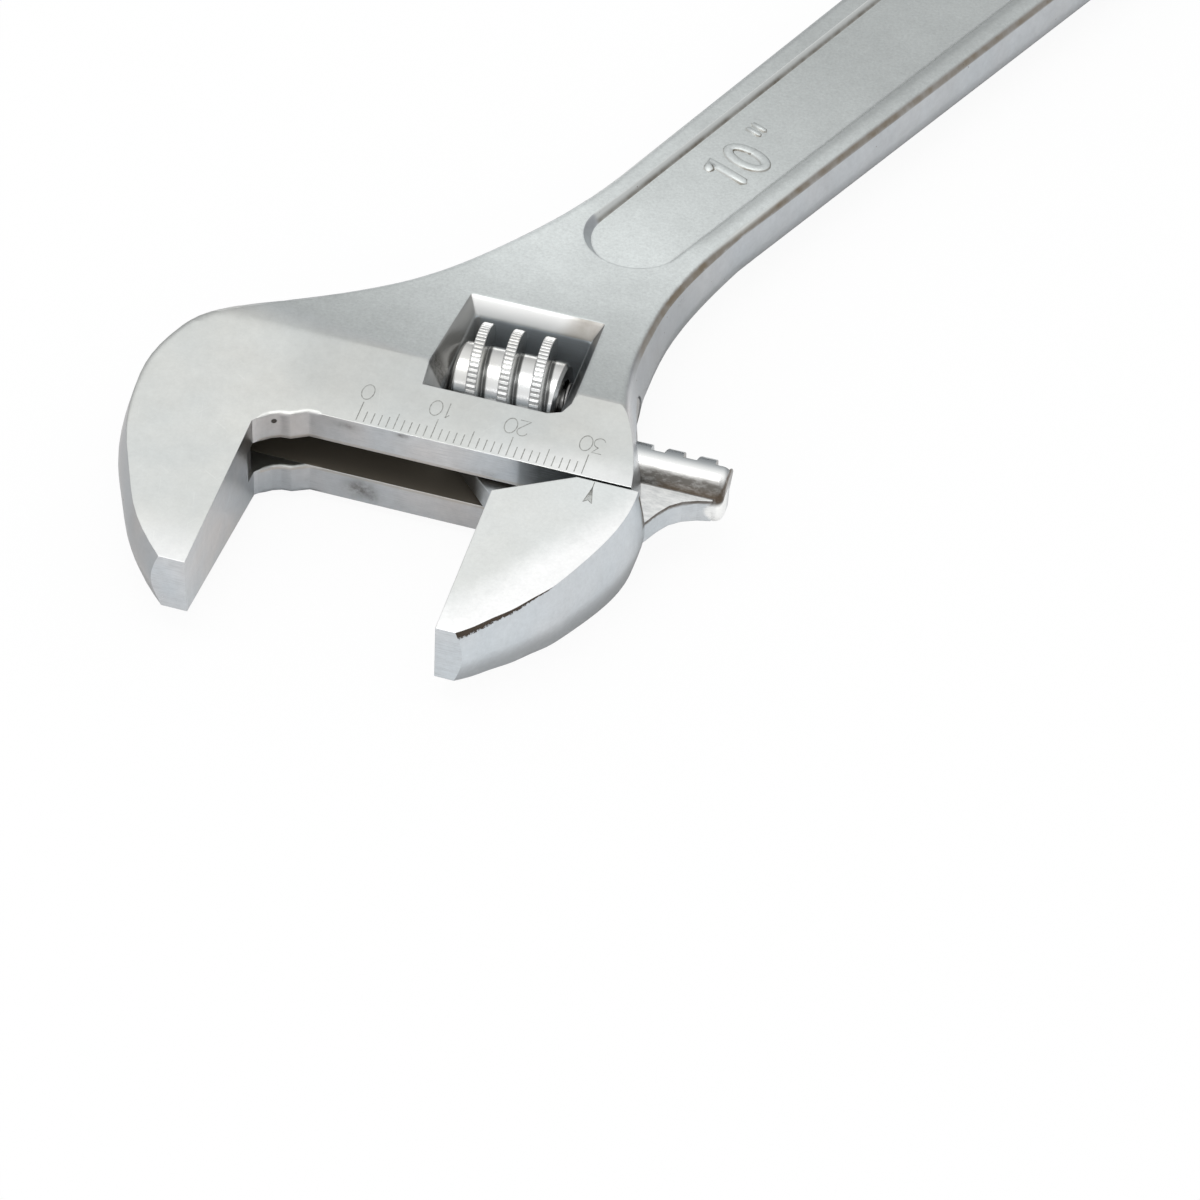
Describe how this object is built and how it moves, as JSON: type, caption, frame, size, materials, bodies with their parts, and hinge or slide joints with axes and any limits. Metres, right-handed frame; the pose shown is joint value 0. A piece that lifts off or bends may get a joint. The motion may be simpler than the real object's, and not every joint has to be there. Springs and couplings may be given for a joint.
{
  "type": "adjustable wrench",
  "caption": "Adjustable wrench: forged head and handle, and a sliding jaw driven by a knurled worm screw in the head's window.",
  "frame": {"origin": "middle of the fixed jaw's gripping face, halfway between its tip and the throat, on the head's middle plane", "axes": "+X across the jaw opening from the fixed jaw to the moving jaw, +Y from the jaw tips towards the handle, +Z out of the face with the opening scale"},
  "size_m": [0.1274, 0.2337, 0.0164],
  "materials": {
    "satin_plate": "satin chrome plate over forged steel, ground on the head",
    "jaw_plate": "satin chrome plate over forged steel, with a polished bar",
    "bright_steel": "polished steel with a fine cross knurl on the thread",
    "pin_steel": "plain turned steel",
    "spring_steel": "oiled spring wire"
  },
  "bodies": {
    "body": {"body": "satin_plate", "worm_pin": "pin_steel", "worm_spring": "spring_steel"},
    "jaw": {"moving_jaw": "jaw_plate"},
    "worm": {"worm": "bright_steel"}
  },
  "joints": [
    {"name": "worm_spin", "type": "hinge", "parent": "body", "child": "worm", "pos_m": [0.0277, 0.0331, 0], "axis": [1, 0, 0], "range_deg": [-117, 2720]},
    {"name": "jaw_slide", "type": "slide", "parent": "body", "child": "jaw", "axis": [1, 0, 0], "range_m": [-0.0325, 0.0014]}
  ],
  "couplings": [
    {"joint": "jaw_slide", "follows": "worm_spin", "m_per_rad": -0.00068437}
  ]
}
